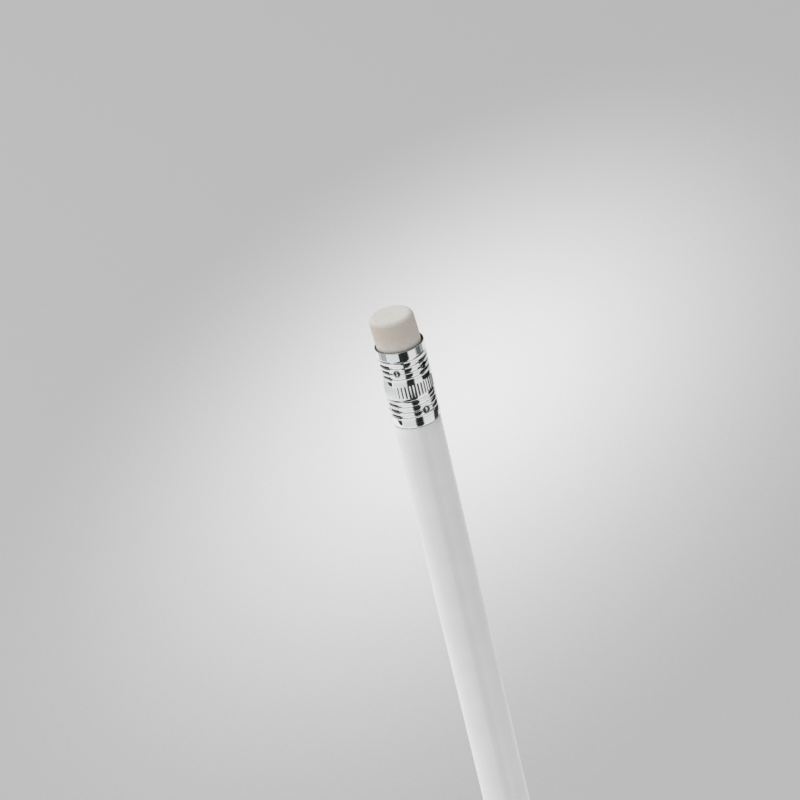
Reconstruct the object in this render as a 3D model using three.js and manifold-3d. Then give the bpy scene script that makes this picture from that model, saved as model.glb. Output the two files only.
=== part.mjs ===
// A round wooden pencil with a crimped ferrule and an eraser, standing on its point.
// Millimetres, +Z up. The tip of the lead is at the origin and the eraser is at the top.
// The angle around the axis is counted from the front, -Y, towards +X.

import * as THREE from 'three';
import { mergeVertices } from 'three/addons/utils/BufferGeometryUtils.js';
import Module from 'manifold-3d';

// Driving dimensions: the whole pencil and its sharpened point
const pencilLength = 190;
const shaftDiameter = 7;
const lacquerThickness = 0.12;
const leadDiameter = 2.2;
const leadTipDiameter = 0.5;
const pointAngle = 21;

// Driving dimensions: the ferrule, a thin tube rolled into bands, listed from its rim down
const ferruleProud = 0.1;
const ferruleWall = 0.22;
const ferruleEdge = 0.06;
const rimBand = 1.7;
const upperBeads = 3;
const collarBand = 1.05;
const fluteBand = 2.1;
const waistBand = 0.5;
const lowerBeads = 3;
const footBand = 1.7;
const beadPitch = 0.88;
const beadDepth = 0.14;
const fluteCount = 38;
const fluteDepth = 0.12;
const fluteRunout = 0.16;
const footLip = 0.12;
const footLipHeight = 0.34;

// Driving dimensions: the stakes, round punch marks that lock the ferrule
const stakeDepth = 0.12;
const upperStakes = 5;
const upperStakeDiameter = 0.96;
const upperStakeTurn = -22;
const upperStakeRise = 1.04;
const lowerStakes = 3;
const lowerStakeDiameter = 1.12;
const lowerStakeTurn = 28;
const lowerStakeRise = 0.68;

// Driving dimensions: the eraser
const eraserExposed = 4.7;
const eraserSeat = 4.9;
const eraserSlack = 0.07;
const eraserTaper = 0.03;
const eraserEdge = 0.8;

// Clearances
const fitClearance = 0.03;
const seatGap = 0.05;
const glueFilm = 0.04;

// Facets: columns around a round piece, and steps along an edge's arc and across a bead
const roundColumns = 48;
const ferruleColumns = 2 * fluteCount;
const arcSteps = 5;
const beadSteps = 4;
const stakeColumns = 16;

// Radii worked out from the driving dimensions
const shaftRadius = shaftDiameter / 2;
const leadRadius = leadDiameter / 2;
const leadTipRadius = leadTipDiameter / 2;
const boreRadius = leadRadius + fitClearance;
const lacquerBore = shaftRadius - lacquerThickness;
const woodRadius = lacquerBore - fitClearance;
const ferruleRadius = shaftRadius + ferruleProud;
const ferruleBore = ferruleRadius - ferruleWall;
const ferruleThroat = ferruleBore - Math.max(beadDepth, fluteDepth, footLip);
const tenonRadius = ferruleThroat - fitClearance;
const eraserRadius = ferruleBore - eraserSlack;

// Distances down from the ferrule's rim to the start of each band
const upperBeadsAt = rimBand;
const collarAt = upperBeadsAt + upperBeads * beadPitch;
const flutesAt = collarAt + collarBand;
const waistAt = flutesAt + fluteBand;
const lowerBeadsAt = waistAt + waistBand;
const footAt = lowerBeadsAt + lowerBeads * beadPitch;
const ferruleLength = footAt + footBand;

// Heights above the tip
const rimHeight = pencilLength - eraserExposed;
const ferruleFoot = rimHeight - ferruleLength;
const shoulderHeight = ferruleFoot - seatGap;
const eraserFoot = rimHeight - eraserSeat;
const tenonTop = eraserFoot - seatGap;

const wasm = await Module();
wasm.setup();

// One corner of a profile
const corner = (radius, height) => new THREE.Vector2(radius, height);

// Height on the sharpened cone where it reaches a radius
function coneHeight(radius) {
  const halfAngle = THREE.MathUtils.degToRad(pointAngle / 2);
  return (radius - leadTipRadius) / Math.tan(halfAngle);
}

// Turns a profile of radius and height around the Z axis
function revolve(profile, columns) {
  const halfColumn = Math.PI / columns;
  return new THREE.LatheGeometry(profile, columns, halfColumn).rotateX(Math.PI / 2);
}

// A closed geometry as a solid that can be joined and cut
function solidFrom(geometry) {
  const bare = geometry.clone();
  bare.deleteAttribute('normal');
  bare.deleteAttribute('uv');
  const merged = mergeVertices(bare);
  const triangles = [];
  for (let i = 0; i < merged.index.count; i += 3) {
    const corners = [0, 1, 2].map((k) => merged.index.getX(i + k));
    if (new Set(corners).size === 3) triangles.push(...corners);
  }
  return new wasm.Manifold(new wasm.Mesh({
    numProp: 3,
    vertProperties: new Float32Array(merged.attributes.position.array),
    triVerts: new Uint32Array(triangles),
  }));
}

// A solid back as a geometry with flat facets
function geometryFrom(solid) {
  const mesh = solid.getMesh();
  const geometry = new THREE.BufferGeometry();
  geometry.setAttribute('position', new THREE.BufferAttribute(mesh.vertProperties, 3));
  geometry.setIndex(new THREE.BufferAttribute(mesh.triVerts, 1));
  return geometry;
}

// The lead: a rod down the whole shaft with its tip ground to the cone
function leadGeometry() {
  return revolve([
    corner(0, 0),
    corner(leadTipRadius, 0),
    corner(leadRadius, coneHeight(leadRadius)),
    corner(leadRadius, tenonTop),
    corner(0, tenonTop),
  ], roundColumns);
}

// Both slats of wood as one: sharpened cone, shaft, and the tenon inside the ferrule
function woodSolid() {
  return solidFrom(revolve([
    corner(boreRadius, coneHeight(boreRadius)),
    corner(woodRadius, coneHeight(woodRadius)),
    corner(woodRadius, shoulderHeight),
    corner(tenonRadius, shoulderHeight),
    corner(tenonRadius, tenonTop),
    corner(boreRadius, tenonTop),
    corner(boreRadius, coneHeight(boreRadius)),
  ], roundColumns));
}

// One slat: the wood on one side of the glue line, front at side -1 and back at side +1
function slatGeometry(side) {
  const block = new THREE.BoxGeometry(2 * shaftDiameter, shaftDiameter, pencilLength);
  block.translate(0, side * (shaftDiameter + glueFilm) / 2, pencilLength / 2);
  return geometryFrom(woodSolid().intersect(solidFrom(block)));
}

// The lacquer: a thin sleeve on the shaft, cut by the sharpened cone at its lower end
function lacquerGeometry() {
  return revolve([
    corner(lacquerBore, coneHeight(lacquerBore)),
    corner(shaftRadius, coneHeight(shaftRadius)),
    corner(shaftRadius, shoulderHeight),
    corner(lacquerBore, shoulderHeight),
    corner(lacquerBore, coneHeight(lacquerBore)),
  ], roundColumns);
}

// Outside of a group of beads, from the groove above it to the groove below it:
// round crests that meet in narrow grooves, with a round shoulder to the plain band on either side
function beadRows(start, count) {
  const half = beadPitch / 2;
  const crestRadius = (half ** 2 + beadDepth ** 2) / (2 * beadDepth);
  const shoulder = beadSteps / 2;
  const rows = [];
  for (let step = -shoulder; step <= beadSteps * count + shoulder; step += 1) {
    const along = step * beadPitch / beadSteps;
    const groove = THREE.MathUtils.clamp(Math.round(along / beadPitch), 0, count) * beadPitch;
    const fromCrest = half - Math.abs(along - groove);
    const drop = crestRadius - Math.sqrt(crestRadius ** 2 - fromCrest ** 2);
    rows.push(corner(ferruleRadius - drop, start + along));
  }
  return rows;
}

// Inside of the ferrule, as radius and distance below the rim: it follows each band of the outside
function ferruleInside() {
  const half = beadPitch / 2;
  const inBeads = ferruleBore - beadDepth;
  const inFlutes = ferruleBore - fluteDepth;
  return [
    corner(ferruleBore, ferruleEdge),
    corner(ferruleBore, upperBeadsAt - half),
    corner(inBeads, upperBeadsAt),
    corner(inBeads, collarAt),
    corner(ferruleBore, collarAt + half),
    corner(inFlutes, flutesAt),
    corner(inFlutes, waistAt),
    corner(inBeads, lowerBeadsAt),
    corner(inBeads, footAt),
    corner(ferruleBore, footAt + half),
    corner(ferruleBore, ferruleLength - footLipHeight),
    corner(ferruleBore - footLip, ferruleLength),
  ];
}

// Outside of the ferrule from the rim down. Rows marked fluted have every other column pressed in
function ferruleOutside() {
  const plain = (radius, depth) => ({ row: corner(radius, depth), fluted: false });
  const fluted = (depth) => ({ row: corner(ferruleRadius, depth), fluted: true });
  const beads = (start, count) => beadRows(start, count).map((row) => ({ row, fluted: false }));
  return [
    plain(ferruleBore + ferruleEdge, 0),
    plain(ferruleRadius - ferruleEdge, 0),
    plain(ferruleRadius, ferruleEdge),
    ...beads(upperBeadsAt, upperBeads),
    plain(ferruleRadius, flutesAt),
    fluted(flutesAt + fluteRunout),
    fluted(waistAt - fluteRunout),
    plain(ferruleRadius, waistAt),
    ...beads(lowerBeadsAt, lowerBeads).slice(1),
    plain(ferruleRadius, ferruleLength - footLipHeight),
    plain(ferruleRadius - footLip, ferruleLength),
  ];
}

// The ferrule as a tube of rolled bands, before it is staked
function ferruleTube() {
  const outside = ferruleOutside();
  const inside = ferruleInside().reverse().map((row) => ({ row, fluted: false }));
  const loop = [...outside, ...inside, outside[0]].reverse();
  const profile = loop.map(({ row }) => corner(row.x, rimHeight - row.y));
  const tube = revolve(profile, ferruleColumns);
  const places = tube.attributes.position;
  const pressed = (ferruleRadius - fluteDepth) / ferruleRadius;
  for (let column = 1; column < ferruleColumns; column += 2) {
    loop.forEach(({ fluted }, row) => {
      const i = column * loop.length + row;
      if (fluted) places.setXY(i, places.getX(i) * pressed, places.getY(i) * pressed);
    });
  }
  return tube;
}

// A ring of round punches, sunk into the ferrule by the depth of a stake
function stakeRing(count, diameter, firstTurn, depth) {
  const halfWidth = diameter / 2;
  const punchRadius = (halfWidth ** 2 + stakeDepth ** 2) / (2 * stakeDepth);
  const reach = ferruleRadius - stakeDepth + punchRadius;
  return Array.from({ length: count }, (_, k) => {
    const turn = THREE.MathUtils.degToRad(firstTurn + k * 360 / count);
    const punch = new THREE.SphereGeometry(punchRadius, 2 * stakeColumns, stakeColumns);
    punch.translate(reach * Math.sin(turn), -reach * Math.cos(turn), rimHeight - depth);
    return solidFrom(punch);
  });
}

// The ferrule, staked a little above the end of each group of beads
function ferruleGeometry() {
  const punches = [
    ...stakeRing(upperStakes, upperStakeDiameter, upperStakeTurn, collarAt - upperStakeRise),
    ...stakeRing(lowerStakes, lowerStakeDiameter, lowerStakeTurn, footAt - lowerStakeRise),
  ];
  const staked = punches.reduce((tube, punch) => tube.subtract(punch), solidFrom(ferruleTube()));
  return geometryFrom(staked);
}

// Radius inside the ferrule at a distance below its rim
function insideRadius(depth) {
  const rows = ferruleInside();
  const below = Math.max(1, rows.findIndex((row) => row.y >= depth));
  const [upper, lower] = [rows[below - 1], rows[below]];
  return THREE.MathUtils.mapLinear(depth, upper.y, lower.y, upper.x, lower.x);
}

// The eraser: a rubber plug, loose at the ferrule's rim and pinched by the beads, with a rounded top edge
function eraserGeometry() {
  const pinched = (inside) => Math.min(eraserRadius, inside - fitClearance);
  const seated = ferruleInside()
    .filter((row) => row.y < eraserSeat)
    .map((row) => corner(pinched(row.x), rimHeight - row.y))
    .reverse();
  const topRadius = eraserRadius - eraserTaper;
  const edge = Array.from({ length: arcSteps + 1 }, (_, k) => {
    const turn = k / arcSteps * Math.PI / 2;
    const radius = topRadius - eraserEdge * (1 - Math.cos(turn));
    return corner(radius, pencilLength - eraserEdge * (1 - Math.sin(turn)));
  });
  return revolve([
    corner(0, eraserFoot),
    corner(pinched(insideRadius(eraserSeat)), eraserFoot),
    ...seated,
    ...edge,
    corner(0, pencilLength),
  ], roundColumns);
}

const pencil = new THREE.Group();

function addPiece(name, geometry, color, roughness, metalness) {
  const material = new THREE.MeshStandardMaterial({ color, roughness, metalness });
  const piece = new THREE.Mesh(geometry, material);
  piece.name = name;
  pencil.add(piece);
}

addPiece('graphite_lead', leadGeometry(), 0x3a3a3d, 0.45, 0.2);
addPiece('wood_slat_front', slatGeometry(-1), 0xd9b48a, 0.75, 0);
addPiece('wood_slat_back', slatGeometry(1), 0xd3ab7f, 0.75, 0);
addPiece('lacquer_coat', lacquerGeometry(), 0xe6e4e1, 0.3, 0);
addPiece('ferrule', ferruleGeometry(), 0xd9d9da, 0.18, 1);
addPiece('eraser_plug', eraserGeometry(), 0xd6d2cd, 0.85, 0);

export default pencil;
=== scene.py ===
"""A round wooden pencil with an eraser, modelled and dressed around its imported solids.

The pencil stands on its point at the origin, with +Z along its axis and the eraser at the top.
Sizes are in millimetres and are turned into metres when a mesh is made. The angle around the
axis, called the turn, is counted from the front, -Y, towards +X.
"""

import logging
import math
from dataclasses import dataclass
from enum import Enum
from typing import ClassVar, Sequence, Union

import bpy
import numpy as np
from mathutils import Matrix, Vector, noise


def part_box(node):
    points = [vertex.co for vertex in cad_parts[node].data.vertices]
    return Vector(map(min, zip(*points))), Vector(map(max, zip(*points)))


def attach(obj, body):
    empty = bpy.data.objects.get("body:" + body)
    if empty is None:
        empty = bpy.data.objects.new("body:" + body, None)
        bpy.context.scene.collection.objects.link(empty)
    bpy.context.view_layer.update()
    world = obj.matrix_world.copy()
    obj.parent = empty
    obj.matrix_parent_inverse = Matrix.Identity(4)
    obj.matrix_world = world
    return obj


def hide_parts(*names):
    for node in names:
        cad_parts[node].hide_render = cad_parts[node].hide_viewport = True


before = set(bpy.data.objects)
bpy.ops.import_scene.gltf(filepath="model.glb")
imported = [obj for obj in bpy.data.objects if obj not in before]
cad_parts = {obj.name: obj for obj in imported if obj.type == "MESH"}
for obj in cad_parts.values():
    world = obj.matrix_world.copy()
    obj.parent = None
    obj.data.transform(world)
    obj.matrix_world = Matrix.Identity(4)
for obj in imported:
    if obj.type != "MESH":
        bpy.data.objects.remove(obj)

LOG = logging.getLogger("pencil")
MM = 0.001
PICTURE_SIDE = 800
CREASE = math.radians(40.0)
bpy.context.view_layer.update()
BODY = "root"
PAINTED_SHADE = "painted_shade"

Span = tuple[float, float]
Colour = tuple[float, float, float]
Rings = list[tuple[float, float]]
Numbers = Union[np.ndarray, float]
Socket = bpy.types.NodeSocket
Sockets = bpy.types.bpy_prop_collection
Feed = Union[Socket, float, Sequence[float]]


class Ends(Enum):
    """How the first and the last ring of a skin are closed."""

    POLES = "poles"
    LOOP = "loop"


class Side(Enum):
    """The side of the glue line that a slat lies on, as the sign of its Y."""

    FRONT = -1
    BACK = 1


class Half(Enum):
    """A half of a round mark on the ferrule, as the sign of the turn from the mark's middle."""

    LEFT = -1
    RIGHT = 1


def node_span(node: str) -> Span:
    """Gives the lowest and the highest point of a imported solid, in millimetres."""
    low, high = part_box(node)
    return low.z / MM, high.z / MM


def grey(level: float) -> tuple[float, float, float, float]:
    """Gives an opaque neutral colour."""
    return level, level, level, 1.0


def smooth(value: np.ndarray) -> np.ndarray:
    """Eases a ramp from 0 to 1 at both of its ends."""
    held = np.clip(value, 0.0, 1.0)
    return held * held * (3.0 - 2.0 * held)


def bell(value: np.ndarray, middle: float, width: float) -> np.ndarray:
    """Gives a bell curve that is 1 at its middle and fades to 0 on both sides."""
    return np.exp(-((value - middle) / width) ** 2)


def turns(columns: int) -> np.ndarray:
    """Gives the turn of each column of a full ring, in radians."""
    return np.arange(columns) * (math.tau / columns)


def around(radii: Numbers, turn: np.ndarray, heights: Numbers) -> np.ndarray:
    """Sets points around the axis, from their distances to it, turns in radians and heights."""
    parts = np.broadcast_arrays(radii * np.sin(turn), -radii * np.cos(turn), heights)
    return np.stack(parts, axis=-1)


def ring_points(radii: np.ndarray, heights: np.ndarray) -> np.ndarray:
    """Sets full rings of points around the axis, from radii and heights of rings by columns."""
    return around(radii, turns(radii.shape[1]), heights)


def spun(profile: np.ndarray, columns: int) -> tuple[np.ndarray, np.ndarray]:
    """Repeats a profile of radius and height in each column, as radii and heights."""
    radii, heights = np.repeat(profile.T[:, :, None], columns, axis=2)
    return radii, heights


def rounded_edge(radius: float, top: float, edge: float, steps: int) -> Rings:
    """Rounds the edge between an upright side and a level top.

    Args:
        radius: Radius of the side.
        top: Height of the top.
        edge: Radius of the rounding.
        steps: Number of rings above the one where the side ends.

    Returns:
        Radius and height of each ring, from the side to the top.
    """
    bend = np.linspace(0.0, math.pi / 2.0, steps + 1)[1:]
    radii = radius - edge * (1.0 - np.cos(bend))
    heights = top - edge * (1.0 - np.sin(bend))
    return list(zip(radii, heights))


def ring_quads(index: np.ndarray) -> list[list[int]]:
    """Joins each ring of points to the one above it with faces that look out.

    Args:
        index: Index of each point, rings by columns.

    Returns:
        The four corners of each face.
    """
    low, high = index[:-1], index[1:]
    quads = np.stack([low, np.roll(low, -1, 1), np.roll(high, -1, 1), high], axis=-1)
    return quads.reshape(-1, 4).tolist()


def skin_mesh(name: str, rings: np.ndarray, ends: Ends) -> bpy.types.Mesh:
    """Joins rings of points into a closed skin that faces out.

    Args:
        name: Name of the mesh.
        rings: Points in millimetres, rings by columns by three, up the outside first.
        ends: Whether the skin closes at a point on the axis or on its own first ring.

    Returns:
        The mesh, in metres.
    """
    points = rings.reshape(-1, 3)
    index = np.arange(len(points)).reshape(rings.shape[:2])
    if ends is Ends.LOOP:
        return finished_mesh(name, points, ring_quads(np.vstack([index, index[:1]])))
    faces = ring_quads(index)
    first, last = index[0].tolist(), index[-1].tolist()
    foot, top = len(points), len(points) + 1
    faces += [[foot, after, here] for here, after in zip(first, first[1:] + first[:1])]
    faces += [[top, here, after] for here, after in zip(last, last[1:] + last[:1])]
    return finished_mesh(name, np.vstack([points, rings[0].mean(0), rings[-1].mean(0)]), faces)


def finished_mesh(name: str, points: np.ndarray, faces: list[list[int]]) -> bpy.types.Mesh:
    """Makes a smooth-shaded mesh whose sharp corners stay sharp.

    Args:
        name: Name of the mesh.
        points: Points in millimetres.
        faces: Corners of each face, by index.

    Returns:
        The mesh, in metres.
    """
    mesh = bpy.data.meshes.new(name)
    mesh.from_pydata((points * MM).tolist(), [], faces)
    mesh.shade_smooth()
    mesh.set_sharp_from_angle(angle=CREASE)
    mesh.validate()
    return mesh


def placed(name: str, data: bpy.types.ID) -> bpy.types.Object:
    """Puts a new object into the scene.

    Args:
        name: Name of the object.
        data: Its mesh, lamp or camera.

    Returns:
        The object.
    """
    made = bpy.data.objects.new(name, data)
    bpy.context.scene.collection.objects.link(made)
    return made


@dataclass(frozen=True)
class Unevenness:
    """A smooth noise that makes a surface uneven.

    The grain is the size of its humps in millimetres, and the seed picks another stretch of it.
    A small share along the axis draws the humps out lengthwise.
    """

    grain: float
    seed: float
    along: float = 1.0

    def at(self, points: np.ndarray) -> np.ndarray:
        """Reads the noise.

        Args:
            points: Points in millimetres, with their coordinates in the last axis.

        Returns:
            Values from about -1 to 1, one for each point.
        """
        flat = (points * (1.0, 1.0, self.along)).reshape(-1, 3) / self.grain + self.seed
        values = [noise.noise(Vector(place)) for place in flat]
        return np.array(values).reshape(points.shape[:-1])


class Sheet:
    """A node tree that is being filled, with short calls to add nodes and to feed sockets."""

    def __init__(self, tree: bpy.types.NodeTree) -> None:
        """Takes the tree to fill."""
        self.tree = tree

    def node(self, kind: str, **settings: object) -> bpy.types.Node:
        """Adds a node.

        Args:
            kind: Blender's name for the kind of node.
            **settings: Properties to set on it.

        Returns:
            The node.
        """
        made = self.tree.nodes.new(kind)
        for name, value in settings.items():
            setattr(made, name, value)
        return made

    def feed(self, socket: Socket, source: Feed) -> None:
        """Links a socket to another socket, or sets its own value.

        Args:
            socket: The input to feed.
            source: The output that feeds it, or its value.
        """
        if isinstance(source, Socket):
            self.tree.links.new(source, socket)
        else:
            socket.default_value = source

    def feed_in_order(self, node: bpy.types.Node, *sources: Feed) -> Socket:
        """Feeds a node's inputs in order.

        Args:
            node: The node.
            *sources: What feeds its inputs.

        Returns:
            The node's first output.
        """
        for socket, source in zip(node.inputs, sources):
            self.feed(socket, source)
        return node.outputs[0]

    def math(self, operation: str, *terms: Feed) -> Socket:
        """Adds a Math node for an operation on the terms."""
        return self.feed_in_order(self.node("ShaderNodeMath", operation=operation), *terms)

    def plus(self, first: Feed, second: Feed) -> Socket:
        """Adds two values."""
        return self.math("ADD", first, second)

    def minus(self, first: Feed, second: Feed) -> Socket:
        """Takes the second value from the first."""
        return self.math("SUBTRACT", first, second)

    def times(self, first: Feed, second: Feed) -> Socket:
        """Multiplies two values."""
        return self.math("MULTIPLY", first, second)

    def larger(self, first: Feed, second: Feed) -> Socket:
        """Gives the larger of two values."""
        return self.math("MAXIMUM", first, second)

    def ramp(self, value: Feed, reach: tuple[Feed, Feed], result: tuple[Feed, Feed]) -> Socket:
        """Maps a value smoothly from its reach to a range of results, held at both ends."""
        made = self.node("ShaderNodeMapRange", interpolation_type="SMOOTHSTEP")
        return self.feed_in_order(made, value, *reach, *result)

    def blend(self, share: Feed, first: Feed, second: Feed) -> Socket:
        """Mixes two colours.

        Args:
            share: Share of the second colour.
            first: The colour at a share of 0.
            second: The colour at a share of 1.

        Returns:
            The mixed colour.
        """
        made = self.node("ShaderNodeMix", data_type="RGBA")
        self.feed(made.inputs["Factor"], share)
        for name, source in (("A", first), ("B", second)):
            socket = next(s for s in made.inputs if s.name == name and s.type == "RGBA")
            self.feed(socket, (*source, 1.0) if isinstance(source, tuple) else source)
        return next(s for s in made.outputs if s.type == "RGBA")

    def mixed_shaders(self, share: Feed, first: Socket, second: Socket) -> Socket:
        """Mixes two shaders, by the share of the second."""
        return self.feed_in_order(self.node("ShaderNodeMixShader"), share, first, second)

    def place(self) -> Socket:
        """Gives the shaded point's place in the pencil's frame, in metres."""
        return self.node("ShaderNodeTexCoord").outputs["Object"]

    def parted_place(self) -> Sockets:
        """Gives the place's X, Y and Z as three values.

        Returns:
            The outputs named X, Y and Z, in metres.
        """
        made = self.node("ShaderNodeSeparateXYZ")
        self.feed(made.inputs[0], self.place())
        return made.outputs

    def stretched(self, across: Feed, along: Feed) -> Socket:
        """Scales the place by one amount across the axis and another along it.

        Args:
            across: Scale of X and Y.
            along: Scale of Z.

        Returns:
            The scaled place.
        """
        scale = self.feed_in_order(self.node("ShaderNodeCombineXYZ"), across, across, along)
        made = self.node("ShaderNodeVectorMath", operation="MULTIPLY")
        return self.feed_in_order(made, self.place(), scale)

    def length(self, vector: Socket) -> Socket:
        """Measures a vector.

        Args:
            vector: The vector.

        Returns:
            Its length.
        """
        made = self.node("ShaderNodeVectorMath", operation="LENGTH")
        self.feed(made.inputs[0], vector)
        return made.outputs["Value"]

    def group(self, effect: "Effect", **inputs: Feed) -> Socket:
        """Places a shared effect in this tree.

        Args:
            effect: The effect to place.
            **inputs: What feeds its inputs, by name.

        Returns:
            The effect's output.
        """
        made = self.node("ShaderNodeGroup", node_tree=effect.tree())
        for name, source in inputs.items():
            self.feed(made.inputs[name], source)
        return made.outputs[0]


class Effect(Enum):
    """Surface effects that several materials share, each built once as a node group."""

    CLOUDS = "soft_clouds"
    SPECKS = "fine_specks"
    STREAKS = "long_streaks"
    RINGS = "turned_rings"
    GROWTH = "growth_rings"

    def tree(self) -> bpy.types.NodeTree:
        """Gives the effect's node group, which is built when it is first asked for."""
        known = bpy.data.node_groups.get(self.value)
        return known or EffectBuilder(self.value).build(self)


class EffectBuilder:
    """Builds the node group of one effect. Scales are in humps per metre."""

    cloud_levels: ClassVar[Span] = (0.3, 0.7)
    fine_detail: ClassVar[float] = 2.0
    ring_drift: ClassVar[float] = 600.0
    growth_bend: ClassVar[Span] = (350.0, 40.0)
    growth_wander: ClassVar[float] = 1.6
    late_wood: ClassVar[float] = 3.0

    def __init__(self, name: str) -> None:
        """Makes an empty group with its own input and output nodes."""
        self.tree = bpy.data.node_groups.new(name, "ShaderNodeTree")
        self.sheet = Sheet(self.tree)
        self.inlet = self.sheet.node("NodeGroupInput")
        self.outlet = self.sheet.node("NodeGroupOutput")

    def build(self, effect: Effect) -> bpy.types.NodeTree:
        """Fills the group.

        Args:
            effect: Which effect to build.

        Returns:
            The node group.
        """
        makers = {
            Effect.CLOUDS: self.clouds,
            Effect.SPECKS: self.specks,
            Effect.STREAKS: self.streaks,
            Effect.RINGS: self.rings,
            Effect.GROWTH: self.growth,
        }
        result = makers[effect]()
        self.tree.interface.new_socket("Value", in_out="OUTPUT", socket_type="NodeSocketFloat")
        self.sheet.feed(self.outlet.inputs[0], result)
        return self.tree

    def value(self, name: str, default: float) -> Socket:
        """Adds a named number to the group's inputs.

        Args:
            name: Name of the input.
            default: Its value where nothing feeds it.

        Returns:
            The number, for use inside the group.
        """
        made = self.tree.interface.new_socket(name, in_out="INPUT", socket_type="NodeSocketFloat")
        made.default_value = default
        return self.inlet.outputs[name]

    def texture(self, kind: str, vector: Socket) -> bpy.types.Node:
        """Adds a texture that reads a vector which is already scaled.

        Args:
            kind: Blender's name for the texture node.
            vector: Where to read it.

        Returns:
            The texture node.
        """
        made = self.sheet.node(kind)
        self.sheet.feed(made.inputs["Vector"], vector)
        self.sheet.feed(made.inputs["Scale"], 1.0)
        return made

    def noise(self, vector: Socket, detail: Feed) -> Socket:
        """Adds a noise texture.

        Args:
            vector: Where to read it.
            detail: How many finer layers it has.

        Returns:
            The noise, around 0.5.
        """
        made = self.texture("ShaderNodeTexNoise", vector)
        self.sheet.feed(made.inputs["Detail"], detail)
        return made.outputs[0]

    def clouds(self) -> Socket:
        """Makes soft uneven patches.

        Returns:
            A value between Low and High.
        """
        scale, detail = self.value("Scale", 1000.0), self.value("Detail", 3.0)
        low, high = self.value("Low", 0.0), self.value("High", 1.0)
        patches = self.noise(self.sheet.stretched(scale, scale), detail)
        return self.sheet.ramp(patches, self.cloud_levels, (low, high))

    def specks(self) -> Socket:
        """Makes small separate dots in a share of the cells of a random pattern.

        Returns:
            1 inside a dot and 0 outside.
        """
        scale, size = self.value("Scale", 2000.0), self.value("Size", 0.2)
        share = self.value("Share", 0.5)
        cells = self.texture("ShaderNodeTexVoronoi", self.sheet.stretched(scale, scale))
        chance = self.sheet.node("ShaderNodeSeparateColor")
        self.sheet.feed(chance.inputs[0], cells.outputs["Color"])
        dotted = self.sheet.math("LESS_THAN", chance.outputs[0], share)
        dot = self.sheet.ramp(cells.outputs["Distance"], (0.0, size), (1.0, 0.0))
        return self.sheet.times(dot, dotted)

    def streaks(self) -> Socket:
        """Makes long thin marks, along the axis where Along is small, and around it where large.

        Returns:
            1 inside a mark and 0 outside.
        """
        across, along = self.value("Across", 4000.0), self.value("Along", 100.0)
        low, high = self.value("Low", 0.5), self.value("High", 0.7)
        lines = self.noise(self.sheet.stretched(across, along), self.fine_detail)
        return self.sheet.ramp(lines, (low, high), (0.0, 1.0))

    def rings(self) -> Socket:
        """Makes fine waves along the axis, as a tool leaves on a turned or rolled surface.

        Returns:
            A wave between 0 and 1.
        """
        pitch, wander = self.value("Pitch", 0.0002), self.value("Wander", 0.5)
        drift = self.noise(self.sheet.stretched(self.ring_drift, self.ring_drift), self.fine_detail)
        count = self.sheet.math("DIVIDE", self.sheet.parted_place()["Z"], pitch)
        shifted = self.sheet.math("MULTIPLY_ADD", drift, wander, count)
        wave = self.sheet.math("SINE", self.sheet.times(shifted, math.tau))
        return self.sheet.math("MULTIPLY_ADD", wave, 0.5, 0.5)

    def growth(self) -> Socket:
        """Makes the yearly rings of a board, seen along its grain.

        Returns:
            0 in early wood, rising to 1 in late wood.
        """
        lean_x, lean_y = self.value("Lean X", 1.0), self.value("Lean Y", 0.3)
        pitch, offset = self.value("Pitch", 0.0009), self.value("Offset", 0.0)
        place = self.sheet.parted_place()
        level = self.sheet.times(place["X"], lean_x)
        level = self.sheet.math("MULTIPLY_ADD", place["Y"], lean_y, level)
        level = self.sheet.plus(self.sheet.math("DIVIDE", level, pitch), offset)
        bend = self.noise(self.sheet.stretched(*self.growth_bend), self.fine_detail)
        year = self.sheet.math("MULTIPLY_ADD", bend, self.growth_wander, level)
        return self.sheet.math("POWER", self.sheet.math("FRACT", year), self.late_wood)


class Finish:
    """A material with a Principled shader, filled in by its own finish class."""

    name: ClassVar[str]

    def material(self) -> bpy.types.Material:
        """Makes the material.

        Returns:
            The finished material.
        """
        made = bpy.data.materials.new(self.name)
        made.use_nodes = True
        shader = made.node_tree.nodes["Principled BSDF"]
        self.fill(Sheet(made.node_tree), shader.inputs)
        return made

    def fill(self, sheet: Sheet, shader: Sockets) -> None:
        """Feeds the shader's sockets."""
        raise NotImplementedError

    @staticmethod
    def bump(sheet: Sheet, height: Socket, depth: float) -> Socket:
        """Turns a height from 0 to 1 into a normal.

        Args:
            sheet: The material's nodes.
            height: The height, from 0 to 1.
            depth: How deep a full step is, in millimetres.

        Returns:
            The bumped normal.
        """
        made = sheet.node("ShaderNodeBump")
        sheet.feed(made.inputs["Strength"], 1.0)
        sheet.feed(made.inputs["Distance"], depth * MM)
        sheet.feed(made.inputs["Height"], height)
        return made.outputs[0]


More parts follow.
